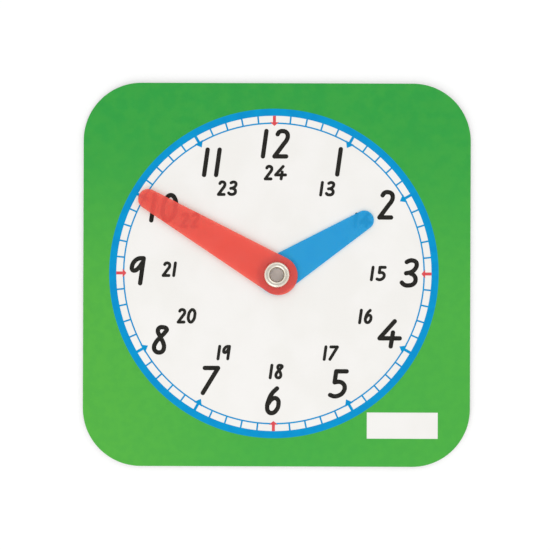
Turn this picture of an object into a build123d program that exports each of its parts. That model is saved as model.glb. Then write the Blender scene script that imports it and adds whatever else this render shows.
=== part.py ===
from build123d import *
import os

# Sizes in millimetres. The clock lies on its back, dial up, with 12 o'clock towards +Y.
# The hands turn about Z, and Z = 0 is the surface that the clock rests on.

# Board: one sheet of white plastic, die-cut with round corners and a hole for the eyelet
board_width = 120.6
board_height = 119.4
board_thickness = 1.2
corner_radius = 18.0

# Print: three inks on the face, a little off the board's centre as they are on the real sheet
ink_thickness = 0.03
dial_offset_x = -0.9
dial_offset_y = 0.42

# Minute ring: a band inside the green margin, a thin inner circle, and the marks between the two
green_margin = 8.4
band_width = 2.2
track_width = 2.3
track_line_width = 0.44
minute_mark_width = 0.5
hour_mark_width = 0.86
hour_head_width = 2.9
hour_head_length = 1.9
quarter_mark_width = 0.92
quarter_head_width = 2.7
quarter_head_length = 1.15
head_past_line = 0.3

# Blank panel: a window in the green ink, lower right, with its nearest corner just outside the ring
panel_width = 21.5
panel_height = 7.9
panel_corner_turn = 303.8
panel_to_ring = 1.05

# Hands: flat translucent plastic, a wide hub drawn in to a round tip. The hole is punched a little in
# front of the hub's middle, more so in the minute hand, as on the real ones.
hand_thickness = 0.6
hand_edge_bevel = 0.1
minute_hub_radius = 6.05
minute_hub_setback = 0.5
minute_tip_radius = 3.15
minute_tip_over_band = 0.42
hour_hub_radius = 5.9
hour_hub_setback = 0.2
hour_tip_radius = 3.0
hour_hand_reach = 35.1
minute_hand_angle = 300.3
hour_hand_angle = 57.8

# Eyelet: one drawn metal tube with a half-round flange in front and its end rolled over behind
bore_radius = 2.1
eyelet_wall = 0.3
flange_radius = 4.05
curl_depth = 0.6

# Clearances: round the barrel, and between the layers that slide on each other
board_hole_clearance = 0.03
hub_clearance = 0.08
layer_gap = 0.06

# Heights and radii that follow from the sizes above
board_back = curl_depth
board_face = board_back + board_thickness
hour_hand_under = board_face + ink_thickness + layer_gap
minute_hand_under = hour_hand_under + hand_thickness + layer_gap
flange_seat = minute_hand_under + hand_thickness + layer_gap
barrel_radius = bore_radius + eyelet_wall
ring_outer_radius = min(board_width, board_height) / 2 - green_margin
band_inner_radius = ring_outer_radius - band_width
track_radius = band_inner_radius - track_width
dial_centre = Pos(dial_offset_x, dial_offset_y, board_face)

# Turns from 3 o'clock, in degrees, at which each kind of mark stands
minute_turn = 360 / 60
minute_turns = [minute_turn * minute for minute in range(60) if minute % 5]
hour_turns = [minute_turn * minute for minute in range(0, 60, 5) if minute % 15]
quarter_turns = [minute_turn * minute for minute in range(0, 60, 15)]


def board_outline():
    """The sheet's outline, which the green ink shares."""
    return RectangleRounded(board_width, board_height, corner_radius)


def dial_board():
    """The die-cut sheet with the eyelet's hole."""
    outline = board_outline() - Circle(barrel_radius + board_hole_clearance)
    return Pos(0, 0, board_back) * extrude(outline, board_thickness)


def panel():
    """The window's outline, in the dial's place, to the right of its nearest corner and below it."""
    corner = Vector(ring_outer_radius + panel_to_ring, 0).rotate(Axis.Z, panel_corner_turn)
    return Pos(corner) * Rectangle(panel_width, panel_height, align=(Align.MIN, Align.MAX))


def green_ground():
    """Green ink from the edge of the sheet to the minute ring, with a window left bare for the panel."""
    bare = Pos(dial_offset_x, dial_offset_y) * (Circle(ring_outer_radius) + panel())
    return Pos(0, 0, board_face) * extrude(board_outline() - bare, ink_thickness)


def bar(width):
    """A mark drawn towards +X, from the thin inner circle into the outer band."""
    outer_end = band_inner_radius + band_width / 2
    return Pos((track_radius + outer_end) / 2, 0) * Rectangle(outer_end - track_radius, width)


def arrow(shaft_width, head_width, head_length):
    """A bar with a triangular head that points at the dial's centre, just past the inner circle."""
    base = track_radius + head_past_line
    corners = Polyline((base, -head_width / 2), (base - head_length, 0), (base, head_width / 2), close=True)
    return bar(shaft_width) + make_face(corners)


def around(mark, turns):
    """The same mark at each of the turns."""
    return Sketch() + [Rot(0, 0, turn) * mark for turn in turns]


def quarter_marks_outline():
    """Arrows at 12, 3, 6 and 9 o'clock, cut off along the outer band's inner edge."""
    arrows = around(arrow(quarter_mark_width, quarter_head_width, quarter_head_length), quarter_turns)
    return arrows & Circle(band_inner_radius)


def minute_ring():
    """Blue ink: the outer band, the inner circle and every mark apart from the four quarters."""
    band = Circle(ring_outer_radius) - Circle(band_inner_radius)
    line = Circle(track_radius + track_line_width / 2) - Circle(track_radius - track_line_width / 2)
    minute_marks = around(bar(minute_mark_width), minute_turns)
    hour_marks = around(arrow(hour_mark_width, hour_head_width, hour_head_length), hour_turns)
    ring = band + line + minute_marks + hour_marks - quarter_marks_outline()
    return dial_centre * extrude(ring, ink_thickness)


def quarter_marks():
    """Red ink: the four quarter arrows."""
    return dial_centre * extrude(quarter_marks_outline(), ink_thickness)


def hand(hub_radius, hub_setback, tip_radius, reach, angle, underside):
    """A hub and a smaller round tip joined by their tangents, pierced for the barrel."""
    with BuildPart() as blade:
        with BuildSketch():
            with Locations((0, -hub_setback)):
                Circle(hub_radius)
            with Locations((0, reach - tip_radius)):
                Circle(tip_radius)
            make_hull()
            Circle(barrel_radius + hub_clearance, mode=Mode.SUBTRACT)
        extrude(amount=hand_thickness)
        faces = blade.faces().filter_by(Axis.Z)
        chamfer([face.outer_wire().edges() for face in faces], hand_edge_bevel)
    return Pos(0, 0, underside) * Rot(0, 0, -angle) * blade.part


def hour_hand():
    """The short blue hand, next to the board."""
    shape = (hour_hub_radius, hour_hub_setback, hour_tip_radius, hour_hand_reach)
    return hand(*shape, hour_hand_angle, hour_hand_under)


def minute_hand():
    """The long red hand, on top, whose tip lies over the inner edge of the outer band."""
    reach = band_inner_radius + minute_tip_over_band
    shape = (minute_hub_radius, minute_hub_setback, minute_tip_radius, reach)
    return hand(*shape, minute_hand_angle, minute_hand_under)


def bend_inside(middle, radius, start):
    """The inner side of a half-round bend, out of sight, as three straight runs."""
    turns = [start, start + 60, start + 120, start + 180]
    return Polyline([Vector(*middle) + Vector(radius, 0).rotate(Axis.Z, turn) for turn in turns])


def eyelet():
    """The metal's section, followed round from the flange's rim, and turned about the hands' axis."""
    flange_rise = (flange_radius - bore_radius) / 2
    flange_middle = (bore_radius + flange_rise, flange_seat)
    curl_middle = (bore_radius + curl_depth, board_back)
    with BuildPart() as ring:
        with BuildSketch(Plane.XZ):
            with BuildLine():
                flange = CenterArc(flange_middle, flange_rise, 0, 180)
                curl = CenterArc(curl_middle, curl_depth, 180, 180)
                curl_inside = bend_inside(curl_middle, curl_depth - eyelet_wall, 180)
                flange_inside = bend_inside(flange_middle, flange_rise - eyelet_wall, 0)
                Line(flange @ 1, curl @ 0)
                Line(curl @ 1, curl_inside @ 1)
                Line(curl_inside @ 0, flange_inside @ 1)
                Line(flange_inside @ 0, flange @ 0)
            make_face()
        revolve(axis=Axis.Z)
    return ring.part


pieces = {
    "dial_board": dial_board(),
    "green_ground": green_ground(),
    "minute_ring": minute_ring(),
    "quarter_marks": quarter_marks(),
    "hour_hand": hour_hand(),
    "minute_hand": minute_hand(),
    "eyelet": eyelet(),
}

os.makedirs("parts", exist_ok=True)
for name, piece in pieces.items():
    export_step(piece, f"parts/{name}.step")
    print(name, len(piece.solids()), round(piece.volume, 3))
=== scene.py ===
import math

import bmesh
import bpy
from mathutils import Matrix, Vector


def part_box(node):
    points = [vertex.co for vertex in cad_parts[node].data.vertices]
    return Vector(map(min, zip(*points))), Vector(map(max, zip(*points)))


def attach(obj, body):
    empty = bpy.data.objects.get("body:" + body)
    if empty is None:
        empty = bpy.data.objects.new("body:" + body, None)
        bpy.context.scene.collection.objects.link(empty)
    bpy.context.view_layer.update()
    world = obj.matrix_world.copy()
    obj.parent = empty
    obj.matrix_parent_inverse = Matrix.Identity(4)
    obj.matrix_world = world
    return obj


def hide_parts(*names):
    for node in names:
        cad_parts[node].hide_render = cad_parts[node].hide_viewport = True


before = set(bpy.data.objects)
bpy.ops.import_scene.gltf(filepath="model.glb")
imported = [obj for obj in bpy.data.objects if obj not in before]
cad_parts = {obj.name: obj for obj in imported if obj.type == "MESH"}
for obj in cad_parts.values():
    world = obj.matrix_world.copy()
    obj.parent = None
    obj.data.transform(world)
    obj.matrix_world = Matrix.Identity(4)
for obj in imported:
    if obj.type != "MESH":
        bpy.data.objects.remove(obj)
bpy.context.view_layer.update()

# Dial board: one sheet of white plastic, almost square and 1.2 mm thick. It is die-cut, so its corners are
# round and its edges are rolled a little. The hole for the eyelet goes straight through its middle.
mm = 0.001
board_low, board_high = [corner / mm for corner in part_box("dial_board")]
board_half = (board_high - board_low) / 2
corner_radius = 18.0
corner_steps = 32
edge_roll = 0.16
edge_steps = 4
board_hole = 2.43
hole_steps = 96
punch_length = 20.0
shortest_edge = 0.002
print_thickness = 0.02


def edges_alone(bm):
    """The edges of the only face so far, once the face itself has been taken away."""
    [face] = bm.faces
    edges = list(face.edges)
    bmesh.ops.delete(bm, geom=[face], context="FACES_ONLY")
    return edges


def board_outline(bm, inset, height):
    """The board's outline as a loop of edges, so far inside the die-cut edge."""
    corners = bmesh.ops.create_grid(bm, x_segments=1, y_segments=1, size=1)["verts"]
    bmesh.ops.scale(bm, verts=corners, vec=(board_half.x - inset, board_half.y - inset, 1))
    bmesh.ops.translate(bm, verts=corners, vec=(0, 0, height))
    bmesh.ops.bevel(
        bm,
        geom=corners,
        affect="VERTICES",
        offset=corner_radius - inset,
        segments=corner_steps,
        profile=0.5,
        material=-1,
    )
    return edges_alone(bm)


def quarter_turn(roll):
    """How far in and how far down a rolled edge lies, from the flat round to the edge's outermost line."""
    turns = [math.pi / 2 * step / edge_steps for step in range(edge_steps + 1)]
    return [(roll * (1 - math.sin(turn)), roll * (1 - math.cos(turn))) for turn in turns]


def skinned(bm, loops):
    """Joins each loop of edges to the next by a band of faces."""
    for near, far in zip(loops, loops[1:]):
        bmesh.ops.bridge_loops(bm, edges=near + far)


def closed_flat(bm, loop, border):
    """Fills a flat loop, with a border that keeps the middle flat to the eye."""
    flat = bmesh.ops.edgeloop_fill(bm, edges=loop)["faces"]
    bmesh.ops.inset_region(bm, faces=flat, thickness=border, use_even_offset=True)


def rolled_sheet(outline, under, top, roll):
    """A flat sheet with this outline and both edges rolled."""
    bm = bmesh.new()
    lower = [outline(bm, inset, under + down) for inset, down in quarter_turn(roll)]
    upper = [outline(bm, inset, top - down) for inset, down in quarter_turn(roll)]
    skinned(bm, [*lower, *reversed(upper)])
    closed_flat(bm, lower[0], roll)
    closed_flat(bm, upper[0], roll)
    bmesh.ops.recalc_face_normals(bm, faces=bm.faces)
    return bm


def upright_round(radius, middle, height, steps):
    """A plain upright cylinder, to be a punch or a dot of ink."""
    bm = bmesh.new()
    size = {"radius1": radius, "radius2": radius, "depth": height}
    to_middle = Matrix.Translation(middle)
    bmesh.ops.create_cone(bm, cap_ends=True, segments=steps, matrix=to_middle, **size)
    return bm


def shape_of(bm):
    """A mesh as an object for a while, so that modifiers can work on it."""
    mesh = bpy.data.meshes.new("shape")
    bm.to_mesh(mesh)
    bm.free()
    return bpy.data.objects.new("shape", mesh)


def combined(first, others, operation):
    """One clean mesh from the first shape, with all the others joined to it or cut out of it."""
    scene = bpy.context.scene
    group = bpy.data.collections.new("shapes")
    scene.collection.children.link(group)
    scene.collection.objects.link(first)
    for shape in others:
        group.objects.link(shape)
    work = first.modifiers.new("work", "BOOLEAN")
    work.operation = operation
    work.solver = "MANIFOLD"
    work.operand_type = "COLLECTION"
    work.collection = group
    bm = bmesh.new()
    bm.from_object(first, bpy.context.evaluated_depsgraph_get())
    for shape in (first, *others):
        bpy.data.meshes.remove(shape.data)
    bpy.data.collections.remove(group)
    bmesh.ops.dissolve_degenerate(bm, edges=bm.edges, dist=shortest_edge)
    return bm


def punched(bm, radius):
    """A sheet with a round hole on the hands' axis."""
    punch = upright_round(radius, (0, 0, 0), punch_length, hole_steps)
    return combined(shape_of(bm), [shape_of(punch)], "DIFFERENCE")


def new_piece(name, bm, material, smooth_below=40):
    """A piece from its mesh in millimetres, smooth where its faces turn by less than this angle."""
    bmesh.ops.scale(bm, verts=bm.verts, vec=(mm, mm, mm))
    mesh = bpy.data.meshes.new(name)
    bm.to_mesh(mesh)
    bm.free()
    mesh.materials.append(material)
    mesh.shade_smooth()
    mesh.set_sharp_from_angle(angle=math.radians(smooth_below))
    piece = bpy.data.objects.new(name, mesh)
    bpy.context.scene.collection.objects.link(piece)
    return piece


def colour(red, green, blue):
    """A colour read as 0 to 255, as a shader takes it."""
    shares = [channel / 255 for channel in (red, green, blue)]
    return tuple(x / 12.92 if x <= 0.04045 else ((x + 0.055) / 1.055) ** 2.4 for x in shares) + (1.0,)


def new_material(name):
    """A material with its shader, and the place on the object that its textures read."""
    material = bpy.data.materials.new(name)
    material.use_nodes = True
    nodes = material.node_tree.nodes
    place = nodes.new("ShaderNodeTexCoord").outputs["Object"]
    return material, nodes["Principled BSDF"], place


def noise(material, place, size, detail=2.0):
    """Irregular lumps of about this size, with finer ones on them, the more the higher the detail."""
    texture = material.node_tree.nodes.new("ShaderNodeTexNoise")
    texture.inputs["Scale"].default_value = 1 / (size * mm)
    texture.inputs["Detail"].default_value = detail
    material.node_tree.links.new(place, texture.inputs["Vector"])
    return texture.outputs["Fac"]


def spread(material, value, low, high, new_low=0.0, new_high=1.0):
    """A value from low to high, eased over a new range."""
    ranges = material.node_tree.nodes.new("ShaderNodeMapRange")
    ranges.interpolation_type = "SMOOTHSTEP"
    limits = {"From Min": low, "From Max": high, "To Min": new_low, "To Max": new_high}
    for name, limit in limits.items():
        ranges.inputs[name].default_value = limit
    material.node_tree.links.new(value, ranges.inputs["Value"])
    return ranges.outputs["Result"]


def patches(material, place, size, least=0.0, most=1.0, detail=2.0, softness=0.2):
    """Patches of about this size, from the least to the most of something, with soft edges."""
    lumps = noise(material, place, size, detail)
    return spread(material, lumps, 0.5 - softness, 0.5 + softness, least, most)


def blend(material, share, first, second):
    """A mix of two colours, each given outright or as a texture's output."""
    mix = material.node_tree.nodes.new("ShaderNodeMixRGB")
    material.node_tree.links.new(share, mix.inputs["Fac"])
    for shade, socket in ((first, mix.inputs["Color1"]), (second, mix.inputs["Color2"])):
        if isinstance(shade, bpy.types.NodeSocket):
            material.node_tree.links.new(shade, socket)
        else:
            socket.default_value = shade
    return mix.outputs["Color"]


def grain(material, shader, place, size, depth):
    """The fine unevenness of a surface, as bumps of this size and depth."""
    bump = material.node_tree.nodes.new("ShaderNodeBump")
    bump.inputs["Distance"].default_value = depth * mm
    material.node_tree.links.new(noise(material, place, size), bump.inputs["Height"])
    material.node_tree.links.new(bump.outputs["Normal"], shader.inputs["Normal"])


def uneven_gloss(material, shader, place, size, smoothest, roughest):
    """Roughness that wanders between two values over patches of this size."""
    roughness = patches(material, place, size, smoothest, roughest)
    material.node_tree.links.new(roughness, shader.inputs["Roughness"])


white_plastic, shader, place = new_material("white_plastic")
duller = patches(white_plastic, place, size=14, softness=0.15)
tint = blend(white_plastic, duller, colour(243, 241, 238), colour(240, 238, 234))
white_plastic.node_tree.links.new(tint, shader.inputs["Base Color"])
shader.inputs["Specular IOR Level"].default_value = 0.3
uneven_gloss(white_plastic, shader, place, size=6, smoothest=0.38, roughest=0.46)
grain(white_plastic, shader, place, size=0.35, depth=0.003)


def bare_outline(bm, inset, height):
    """The white sheet's outline, just inside the ink that wraps its front edge."""
    return board_outline(bm, inset + print_thickness, height)


sheet = rolled_sheet(bare_outline, board_low.z, board_high.z, edge_roll)
board_sheet = new_piece("board_sheet", punched(sheet, board_hole), white_plastic)
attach(board_sheet, "board")
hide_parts("dial_board")

# Green print: a coat of green ink from the die-cut edge to the minute ring, which overlaps it slightly. It
# rolls down with the sheet's front edge, and a plain window is left bare in it at the lower right.
ring_low, ring_high = [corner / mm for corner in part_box("minute_ring")]
dial_middle = (ring_low + ring_high) / 2
ring_radius = (ring_high.x - ring_low.x) / 2
ring_overlap = 0.3
dial_steps = 256
cutter_height = 8.0
window_size = Vector((22.1, 8.15, cutter_height))
window_turn = math.radians(303.94)
window_to_ring = 0.78
painted_light_to_left = (10 * mm, -60 * mm)
painted_light_to_right = (0, 60 * mm)
painted_light_down = (55 * mm, -15 * mm)

print_top = board_high.z + print_thickness
coat = bmesh.new()
turned_down = [board_outline(coat, inset, print_top - down) for inset, down in quarter_turn(edge_roll)]
skinned(coat, turned_down)
closed_flat(coat, turned_down[0], edge_roll)
bmesh.ops.recalc_face_normals(coat, faces=coat.faces)
bmesh.ops.solidify(coat, geom=coat.faces[:], thickness=print_thickness)
dial = upright_round(ring_radius - ring_overlap, dial_middle, cutter_height, dial_steps)
out_to_corner = Vector((math.cos(window_turn), math.sin(window_turn), 0)) * (ring_radius + window_to_ring)
window_middle = dial_middle + out_to_corner + window_size * Vector((1, -1, 0)) / 2
window = bmesh.new()
bmesh.ops.create_cube(window, size=1)
bmesh.ops.scale(window, verts=window.verts, vec=window_size)
bmesh.ops.translate(window, verts=window.verts, vec=window_middle)
coat = combined(shape_of(coat), [shape_of(dial), shape_of(window)], "DIFFERENCE")

green_ink, shader, place = new_material("green_ink")
# The green is painted lighter towards the bottom. It is lightest at the lower left and a little lighter at
# the lower right. This is painted light from the lamps on the six o'clock side, not a change in the ink. The
# thinner and thicker patches after it are the ink's own.
axes = green_ink.node_tree.nodes.new("ShaderNodeSeparateXYZ")
green_ink.node_tree.links.new(place, axes.inputs["Vector"])
lit_to_left = spread(green_ink, axes.outputs["X"], *painted_light_to_left)
lit_to_right = spread(green_ink, axes.outputs["X"], *painted_light_to_right, new_high=0.6)
lit_downwards = spread(green_ink, axes.outputs["Y"], *painted_light_down)
thin_and_lit_green = colour(76, 176, 60)
painted_lit_low_green = blend(green_ink, lit_to_left, colour(62, 172, 62), colour(80, 178, 59))
painted_lit_low_green = blend(green_ink, lit_to_right, painted_lit_low_green, thin_and_lit_green)
painted_lit_green = blend(green_ink, lit_downwards, colour(38, 159, 60), painted_lit_low_green)
thinner = patches(green_ink, place, size=3.5, most=0.22, detail=4.0, softness=0.15)
uneven_green = blend(green_ink, thinner, painted_lit_green, thin_and_lit_green)
thicker = patches(green_ink, place, size=2.5, most=0.14, detail=4.0, softness=0.15)
tint = blend(green_ink, thicker, uneven_green, colour(40, 148, 60))
green_ink.node_tree.links.new(tint, shader.inputs["Base Color"])
shader.inputs["Specular IOR Level"].default_value = 0.3
uneven_gloss(green_ink, shader, place, size=4, smoothest=0.4, roughest=0.5)
grain(green_ink, shader, place, size=0.3, depth=0.003)

green_print = new_piece("green_print", coat, green_ink)
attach(green_print, "board")
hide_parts("green_ground")


# Minute ring and quarter marks: blue and red ink, printed over the sheet and over the edge of the green.
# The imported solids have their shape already, so they are kept and get their inks here.
def flat_ink(name, full, thin, patch):
    """A satin printing ink that is a little thinner and lighter in patches of this size."""
    ink, shader, place = new_material(name)
    tint = blend(ink, patches(ink, place, size=patch, detail=3.0), full, thin)
    ink.node_tree.links.new(tint, shader.inputs["Base Color"])
    shader.inputs["Specular IOR Level"].default_value = 0.08
    uneven_gloss(ink, shader, place, size=2, smoothest=0.4, roughest=0.5)
    grain(ink, shader, place, size=0.25, depth=0.003)
    return ink


blue_ink = flat_ink("blue_ink", full=colour(0, 142, 204), thin=colour(0, 151, 209), patch=3)
red_ink = flat_ink("red_ink", full=colour(218, 73, 79), thin=colour(223, 88, 92), patch=1)
for node, ink in (("minute_ring", blue_ink), ("quarter_marks", red_ink)):
    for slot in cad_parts[node].material_slots:
        slot.material = ink

# Hour numerals: 1 to 12 in black ink, drawn with a round pen and leaning a little. A digit is a few strokes
# of the pen, each given by points in millimetres from the digit's middle, which a smooth line goes through.
digit_strokes = {
    "0": [
        [(2.0, 0), (1.85, 2.85), (0.6, 4.0), (-1.0, 2.85)]
        + [(-2.0, 0), (-1.85, -2.85), (-0.6, -4.0), (1.0, -2.85)],
    ],
    "1": [
        [(0.55, 4.0), (-0.55, -4.0)],
    ],
    "2": [
        [(-1.1, 3.0), (-0.6, 3.7), (0.6, 4.0), (1.8, 3.45), (2.1, 2.45)]
        + [(1.75, 1.2), (0.8, -0.1), (-2.1, -4.0)],
        [(-2.1, -4.0), (1.6, -4.0)],
    ],
    "3": [
        [(-0.8, 3.45), (0, 3.85), (1.0, 3.95), (2.1, 3.45), (2.35, 2.6)]
        + [(1.9, 1.35), (0.65, 0.3), (-1.0, -0.1)],
        [(0.35, -0.1), (1.55, -0.85), (2.0, -2.1), (1.4, -3.4)]
        + [(-0.3, -3.95), (-1.65, -3.7), (-2.35, -3.05)],
    ],
    "4": [
        [(1.6, 3.95), (-3.2, -1.45)],
        [(-3.2, -1.45), (3.2, -1.45)],
        [(1.05, 0.4), (0.35, -4.0)],
    ],
    "5": [
        [(2.6, 3.95), (-0.7, 3.95)],
        [(-0.7, 3.95), (-1.2, 0.45)],
        [(-1.2, 0.5), (0.45, 0.6), (1.6, -0.05), (2.0, -1.2)]
        + [(1.4, -2.75), (0.1, -3.7), (-1.35, -3.95), (-2.6, -3.55)],
    ],
    "6": [
        [(1.3, 3.9), (-0.2, 2.4), (-1.3, 0.25), (-1.8, -2.0), (-1.45, -3.4), (-0.4, -3.9)]
        + [(1.05, -3.05), (1.8, -0.8), (1.5, 0.4), (0.55, 0.85), (-0.5, 0.35), (-1.45, -0.9)],
    ],
    "7": [
        [(-1.8, 3.95), (2.4, 3.95)],
        [(2.4, 3.95), (-2.4, -3.95)],
    ],
    "8": [
        [(2.0, 3.35), (0.75, 4.0), (-0.45, 3.7), (-0.8, 2.75), (-0.3, 1.45)]
        + [(0.2, 0.5), (0.95, -1.05), (1.15, -2.4), (0.65, -3.6), (-0.35, -4.0)]
        + [(-1.5, -3.6), (-2.0, -2.4), (-1.45, -0.85), (0, 0.85), (1.45, 2.35)],
    ],
    "9": [
        [(1.85, 3.95), (0.75, -3.95)],
        [(1.85, 3.95), (0.25, 3.85), (-1.15, 2.85), (-1.85, 1.25)]
        + [(-1.75, 0.35), (-1.05, 0.05), (0.1, 0.75), (1.4, 2.5)],
    ],
}
closed_digits = "08"
room_beside = {digit: 1.2 for digit in digit_strokes} | {"1": 1.35}
hour_size = 0.985
hour_pen = 1.38
pen_steps = 24
line_steps = 6
ink_height = 0.03
hour_places = {
    "1": (20.15, 34.85),
    "2": (34.85, 21.5),
    "3": (42.15, 0.3),
    "4": (36.1, -18.65),
    "5": (20.2, -34.3),
    "6": (-0.2, -39.65),
    "7": (-19.65, -33.4),
    "8": (-35.3, -20.8),
    "9": (-42.4, 0.7),
    "10": (-34.5, 20.35),
    "11": (-19.45, 34.55),
    "12": (0.3, 40.4),
}


def half_width(digit):
    """How far the pen's points go to either side of a digit's middle."""
    return max(x for stroke in digit_strokes[digit] for x, y in stroke)


def digit_middles(numeral):
    """How far right of a numeral's middle each of its digits stands."""
    middles = [0]
    for before, after in zip(numeral, numeral[1:]):
        room = room_beside[before] + room_beside[after]
        middles.append(middles[-1] + half_width(before) + room + half_width(after))
    middle = (middles[-1] + half_width(numeral[-1]) - half_width(numeral[0])) / 2
    return [x - middle for x in middles]


def pen_line(points, closed):
    """The smooth line that the pen follows through a stroke's points."""
    curve = bpy.data.curves.new("pen_line", "CURVE")
    curve.dimensions = "3D"
    curve.resolution_u = line_steps
    line = curve.splines.new("BEZIER")
    line.bezier_points.add(len(points) - 1)
    for knot, point in zip(line.bezier_points, points):
        knot.co = point
        knot.handle_left_type = "AUTO"
        knot.handle_right_type = "AUTO"
    line.use_cyclic_u = closed
    holder = bpy.data.objects.new("pen_line", curve)
    path = bpy.data.meshes.new_from_object(holder)
    bpy.data.curves.remove(curve)
    return path


def pen_strip(path, left_out, pen):
    """Part of a line, raised to the ink's height and given the pen's width."""
    bm = bmesh.new()
    bm.from_mesh(path)
    bmesh.ops.delete(bm, geom=bm.verts[left_out], context="VERTS")
    wall = bmesh.ops.extrude_edge_only(bm, edges=bm.edges[:])["geom"]
    top = [element for element in wall if isinstance(element, bmesh.types.BMVert)]
    bmesh.ops.translate(bm, verts=top, vec=(0, 0, ink_height))
    strip = shape_of(bm)
    width = strip.modifiers.new("pen_width", "SOLIDIFY")
    width.thickness = pen
    width.offset = 0
    width.use_even_offset = True
    return strip


def pen_stroke(points, closed, pen):
    """A stroke in two halves, because one strip can't cross itself, with a round dot at each end."""
    path = pen_line(points, closed)
    half = len(path.vertices) // 2
    halves = (slice(half + 1, None), slice(1 if closed else 0, half))
    ends = [path.vertices[at].co + Vector((0, 0, ink_height / 2)) for at in (0, half, -1)]
    dots = [shape_of(upright_round(pen / 2, end, ink_height, pen_steps)) for end in ends]
    return [pen_strip(path, left_out, pen) for left_out in halves] + dots


def numeral_ring(places, size, pen):
    """Numerals round the dial, each digit this many times its full size."""
    strokes = []
    for numeral, (x, y) in places.items():
        for digit, middle in zip(numeral, digit_middles(numeral)):
            digit_middle = Vector((x + middle * size, y, 0))
            for stroke in digit_strokes[digit]:
                points = [digit_middle + Vector((*point, 0)) * size for point in stroke]
                strokes += pen_stroke(points, digit in closed_digits, pen)
    bm = combined(strokes[0], strokes[1:], "UNION")
    bmesh.ops.translate(bm, verts=bm.verts, vec=(dial_middle.x, dial_middle.y, board_high.z))
    return bm


black_ink = flat_ink("black_ink", full=colour(34, 33, 30), thin=colour(42, 41, 37), patch=2)
hour_numerals = new_piece("hour_numerals", numeral_ring(hour_places, hour_size, hour_pen), black_ink)
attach(hour_numerals, "board")

# Afternoon numerals: 13 to 24 inside the hour numerals, in the same ink and hand at about half the size,
# with a pen that is a little bolder for its height.
afternoon_size = 0.487
afternoon_pen = 0.95
afternoon_places = {
    "13": (16.5, 26.45),
    "14": (27.6, 16.65),
    "15": (32.5, 0.1),
    "16": (28.5, -13.3),
    "17": (17.8, -24.75),
    "18": (0.8, -30.55),
    "19": (-15.55, -24.7),
    "20": (-27.2, -13.3),
    "21": (-32.6, 1.2),
    "22": (-26.3, 16.5),
    "23": (-14.65, 26.5),
    "24": (0.35, 31.4),
}

afternoon_mesh = numeral_ring(afternoon_places, afternoon_size, afternoon_pen)
afternoon_numerals = new_piece("afternoon_numerals", afternoon_mesh, black_ink)
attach(afternoon_numerals, "board")

# Hour hand: a flat blue strip of translucent plastic, cut with a wide hub and a small round tip. It lies next
# to the board, and its hole is cut a little in front of the hub's middle.
hand_edge_roll = 0.12
hand_hole = 2.48
arc_step = math.radians(3)
hour_low, hour_high = [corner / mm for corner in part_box("hour_hand")]
hour_hub = 5.9
hour_setback = 0.2
hour_tip = 3.0
hour_reach = 35.1
hour_turn = math.radians(57.8)


def arc(bm, start, middle, turn):
    """Draws on from a corner round a middle, and gives the corner that it ends at."""
    steps = round(abs(turn) / arc_step)
    drawn = bmesh.ops.spin(bm, geom=[start], cent=middle, axis=(0, 0, 1), angle=turn, steps=steps)
    [end] = drawn["geom_last"]
    return end


def hand_outline(hub, setback, tip, reach, turn):
    """The outline of a hand: two circles, joined by the straight lines that touch both."""
    hub_middle = Vector((0, -setback, 0))
    tip_middle = Vector((0, reach - tip, 0))
    lean = math.asin((hub - tip) / (tip_middle - hub_middle).length)
    towards_side = Vector((math.cos(lean), math.sin(lean), 0))

    def outline(bm, inset, height):
        up = Vector((0, 0, height))
        before = set(bm.edges)
        first = bm.verts.new(hub_middle + towards_side * (hub - inset) + up)
        hub_end = arc(bm, first, hub_middle + up, -math.pi - 2 * lean)
        across = towards_side * Vector((-1, 1, 1))
        tip_start = bm.verts.new(tip_middle + across * (tip - inset) + up)
        tip_end = arc(bm, tip_start, tip_middle + up, -math.pi + 2 * lean)
        bm.edges.new((hub_end, tip_start))
        bm.edges.new((tip_end, first))
        drawn = [edge for edge in bm.edges if edge not in before]
        corners = list(dict.fromkeys(corner for edge in drawn for corner in edge.verts))
        bmesh.ops.rotate(bm, verts=corners, cent=(0, 0, 0), matrix=Matrix.Rotation(-turn, 3, "Z"))
        return drawn

    return outline


def see_through_plastic(name, full, thin, pale, cloudy, clear):
    """Plastic that passes a cloudy share of light in its own colour, and a clear share in a pale one."""
    plastic, shader, place = new_material(name)
    nodes = plastic.node_tree.nodes
    links = plastic.node_tree.links
    tint = blend(plastic, patches(plastic, place, size=7), full, thin)
    links.new(tint, shader.inputs["Base Color"])
    shader.inputs["Specular IOR Level"].default_value = 0.3
    uneven_gloss(plastic, shader, place, size=3, smoothest=0.3, roughest=0.38)
    grain(plastic, shader, place, size=0.4, depth=0.004)
    through = nodes.new("ShaderNodeBsdfTranslucent")
    links.new(tint, through.inputs["Color"])
    share = nodes.new("ShaderNodeMixShader")
    share.inputs["Fac"].default_value = cloudy
    links.new(shader.outputs["BSDF"], share.inputs[1])
    links.new(through.outputs["BSDF"], share.inputs[2])
    straight = nodes.new("ShaderNodeBsdfTransparent")
    straight.inputs["Color"].default_value = pale
    clear_share = nodes.new("ShaderNodeMixShader")
    clear_share.inputs["Fac"].default_value = clear
    links.new(share.outputs["Shader"], clear_share.inputs[1])
    links.new(straight.outputs["BSDF"], clear_share.inputs[2])
    links.new(clear_share.outputs["Shader"], nodes["Material Output"].inputs["Surface"])
    return plastic


blue_plastic = see_through_plastic(
    "blue_plastic",
    full=colour(40, 186, 255),
    thin=colour(46, 189, 255),
    pale=colour(222, 244, 233),
    cloudy=0.2,
    clear=0.43,
)
hour_outline = hand_outline(hour_hub, hour_setback, hour_tip, hour_reach, hour_turn)
hour_sheet = rolled_sheet(hour_outline, hour_low.z, hour_high.z, hand_edge_roll)
hour_hand = new_piece("hour_hand_sheet", punched(hour_sheet, hand_hole), blue_plastic)
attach(hour_hand, "hour_hand")
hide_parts("hour_hand")

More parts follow.
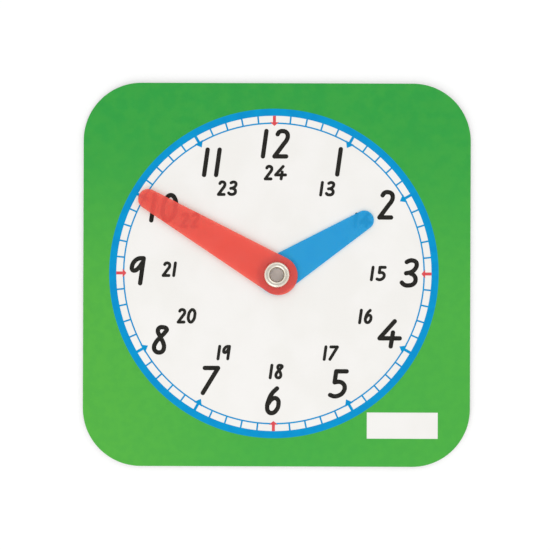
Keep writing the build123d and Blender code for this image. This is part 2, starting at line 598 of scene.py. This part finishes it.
# Minute hand: a longer red strip of the same plastic, cut the same way. It lies on the hour hand, and its
# tip reaches just over the blue band of the minute ring.
minute_low, minute_high = [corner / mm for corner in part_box("minute_hand")]
minute_hub = 6.05
minute_setback = 0.5
minute_tip = 3.15
minute_reach = 49.52
minute_turn = math.radians(300.3)

red_plastic = see_through_plastic(
    "red_plastic",
    full=colour(255, 100, 91),
    thin=colour(255, 104, 96),
    pale=colour(255, 242, 226),
    cloudy=0.2,
    clear=0.39,
)
minute_outline = hand_outline(minute_hub, minute_setback, minute_tip, minute_reach, minute_turn)
minute_sheet = rolled_sheet(minute_outline, minute_low.z, minute_high.z, hand_edge_roll)
minute_hand = new_piece("minute_hand_sheet", punched(minute_sheet, hand_hole), red_plastic)
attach(minute_hand, "minute_hand")
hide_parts("minute_hand")

# Eyelet: one nickel-plated tube, drawn from sheet, that pins both hands to the board. Its front end is a
# half-round flange and its back end is curled over behind the board. It is open right through.
eyelet_low, eyelet_high = [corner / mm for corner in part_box("eyelet")]
eyelet_bore = 2.1
eyelet_wall = 0.3
flange_radius = (eyelet_high.x - eyelet_low.x) / 2
flange_rise = (flange_radius - eyelet_bore) / 2
curl_rise = 0.6
bend_steps = 16
turn_steps = 96
same_corner = 0.0001
barrel_top = eyelet_high.z - flange_rise
barrel_bottom = eyelet_low.z + curl_rise
painted_shade_down_barrel = (barrel_top * mm, 2.2 * mm)
painted_shade_to_back = (1.3 * mm, 0.5 * mm)

metal = bmesh.new()
flange_middle = (eyelet_bore + flange_rise, 0, barrel_top)
curl_middle = (eyelet_bore + curl_rise, 0, barrel_bottom)
rim = metal.verts.new((flange_radius, 0, barrel_top))
bend = {"axis": (0, 1, 0), "angle": -math.pi, "steps": bend_steps}
[bore_top] = bmesh.ops.spin(metal, geom=[rim], cent=flange_middle, **bend)["geom_last"]
bore_bottom = metal.verts.new((eyelet_bore, 0, barrel_bottom))
metal.edges.new((bore_top, bore_bottom))
bmesh.ops.spin(metal, geom=[bore_bottom], cent=curl_middle, **bend)
section = metal.verts[:] + metal.edges[:]
full_turn = {"cent": (0, 0, 0), "axis": (0, 0, 1), "angle": 2 * math.pi, "steps": turn_steps}
bmesh.ops.spin(metal, geom=section, use_merge=True, **full_turn)
bmesh.ops.remove_doubles(metal, verts=metal.verts, dist=same_corner)
bmesh.ops.recalc_face_normals(metal, faces=metal.faces)
bmesh.ops.solidify(metal, geom=metal.faces[:], thickness=eyelet_wall)

nickel, shader, place = new_material("nickel")
axes = nickel.node_tree.nodes.new("ShaderNodeSeparateXYZ")
nickel.node_tree.links.new(place, axes.inputs["Vector"])
duller = patches(nickel, place, size=1.2, detail=4.0)
plated = blend(nickel, duller, colour(238, 231, 217), colour(230, 222, 206))
# Down inside the barrel, from just under the flange to near the curl, the nickel is painted a darker warm
# brown. This is painted shade in the bore, warmed as if by light bounced off the metal walls.
shaded_down_barrel = spread(nickel, axes.outputs["Z"], *painted_shade_down_barrel)
unshaded_near_curl = spread(nickel, axes.outputs["Z"], *painted_shade_to_back)
shaded_barrel_tint = blend(nickel, unshaded_near_curl, colour(186, 136, 100), plated)
tint = blend(nickel, shaded_down_barrel, plated, shaded_barrel_tint)
nickel.node_tree.links.new(tint, shader.inputs["Base Color"])
shader.inputs["Metallic"].default_value = 1.0
uneven_gloss(nickel, shader, place, size=0.8, smoothest=0.24, roughest=0.3)
grain(nickel, shader, place, size=0.6, depth=0.0006)

eyelet_tube = new_piece("eyelet_tube", metal, nickel)
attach(eyelet_tube, "board")
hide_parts("eyelet")

# Studio: the clock lies on a wide pale floor under soft lamps, with more light from the six o'clock side.
# The pale card overhead shows only as a reflection, so that the eyelet's metal isn't plain white. Far from
# the clock the floor is as white to the camera as the air above it.
floor_size = 12000
fade_to_glow = (150 * mm, 900 * mm)
card_height = 520
card_radius = 450
card_steps = 64
air_strength = 0.86

floor_mesh = bmesh.new()
bmesh.ops.create_grid(floor_mesh, x_segments=1, y_segments=1, size=floor_size / 2)
floor_paint, shader, place = new_material("floor_paint")
to_camera = floor_paint.node_tree.nodes.new("ShaderNodeLightPath").outputs["Is Camera Ray"]
floor_tint = blend(floor_paint, to_camera, colour(225, 225, 225), colour(255, 255, 255))
floor_paint.node_tree.links.new(floor_tint, shader.inputs["Base Color"])
shader.inputs["Roughness"].default_value = 1.0
shader.inputs["Specular IOR Level"].default_value = 0.0
away = floor_paint.node_tree.nodes.new("ShaderNodeVectorMath")
away.operation = "LENGTH"
floor_paint.node_tree.links.new(place, away.inputs[0])
far_glow = spread(floor_paint, away.outputs["Value"], *fade_to_glow, new_high=0.3)
seen_glow = floor_paint.node_tree.nodes.new("ShaderNodeMath")
seen_glow.operation = "MULTIPLY"
floor_paint.node_tree.links.new(far_glow, seen_glow.inputs[0])
floor_paint.node_tree.links.new(to_camera, seen_glow.inputs[1])
shader.inputs["Emission Color"].default_value = (1, 1, 1, 1)
floor_paint.node_tree.links.new(seen_glow.outputs["Value"], shader.inputs["Emission Strength"])
floor = new_piece("floor", floor_mesh, floor_paint)

world = bpy.data.worlds.new("studio_air")
bpy.context.scene.world = world
world.use_nodes = True
air = world.node_tree
background = air.nodes["Background"]
background.inputs["Color"].default_value = (1, 1, 1, 1)
rays = air.nodes.new("ShaderNodeLightPath")
seen = None
for kind in ("Is Camera Ray", "Is Glossy Ray", "Is Transmission Ray"):
    either = air.nodes.new("ShaderNodeMath")
    either.operation = "MAXIMUM"
    air.links.new(rays.outputs[kind], either.inputs[0])
    if seen:
        air.links.new(seen, either.inputs[1])
    else:
        either.inputs[1].default_value = 0
    seen = either.outputs["Value"]
strength = air.nodes.new("ShaderNodeMapRange")
strength.inputs["To Min"].default_value = air_strength
air.links.new(seen, strength.inputs["Value"])
air.links.new(strength.outputs["Result"], background.inputs["Strength"])


def soft_lamp(name, stand, width, power):
    """A square soft lamp that faces the clock."""
    light = bpy.data.lights.new(name, "AREA")
    light.size = width
    light.energy = power
    lamp = bpy.data.objects.new(name, light)
    lamp.location = stand
    lamp.rotation_euler = Vector(stand).to_track_quat("Z", "Y").to_euler()
    bpy.context.scene.collection.objects.link(lamp)


soft_lamp("key_lamp", stand=(-0.2, -0.45, 0.5), width=0.5, power=0.95)
soft_lamp("fill_lamp", stand=(0.35, 0.4, 0.5), width=0.5, power=0.5)

card_mesh = bmesh.new()
overhead = Matrix.Translation((0, 0, card_height))
card_round = {"segments": card_steps, "radius": card_radius, "matrix": overhead}
bmesh.ops.create_circle(card_mesh, cap_ends=True, **card_round)
card_paint, shader, _ = new_material("card_paint")
shader.inputs["Base Color"].default_value = colour(240, 240, 240)
card = new_piece("card", card_mesh, card_paint)
card.visible_camera = False
card.visible_diffuse = False
card.visible_shadow = False

# Camera: straight above the clock, a little left of its middle, and turned by a fifth of a degree. It stands
# as far off as shows 171.3 mm across at the board's face.
lens = 100.0
sensor = 36.0
view_width = 171.3 * mm
view_middle = Vector((-0.56, -0.06, board_high.z)) * mm
view_turn = math.radians(0.2)

camera = bpy.data.cameras.new("camera")
camera.lens = lens
camera.sensor_width = sensor
viewer = bpy.data.objects.new("camera", camera)
viewer.location = view_middle + Vector((0, 0, view_width * lens / sensor))
viewer.rotation_euler = (0, 0, view_turn)
bpy.context.scene.collection.objects.link(viewer)
bpy.context.scene.camera = viewer
bpy.context.scene.view_settings.view_transform = "Standard"
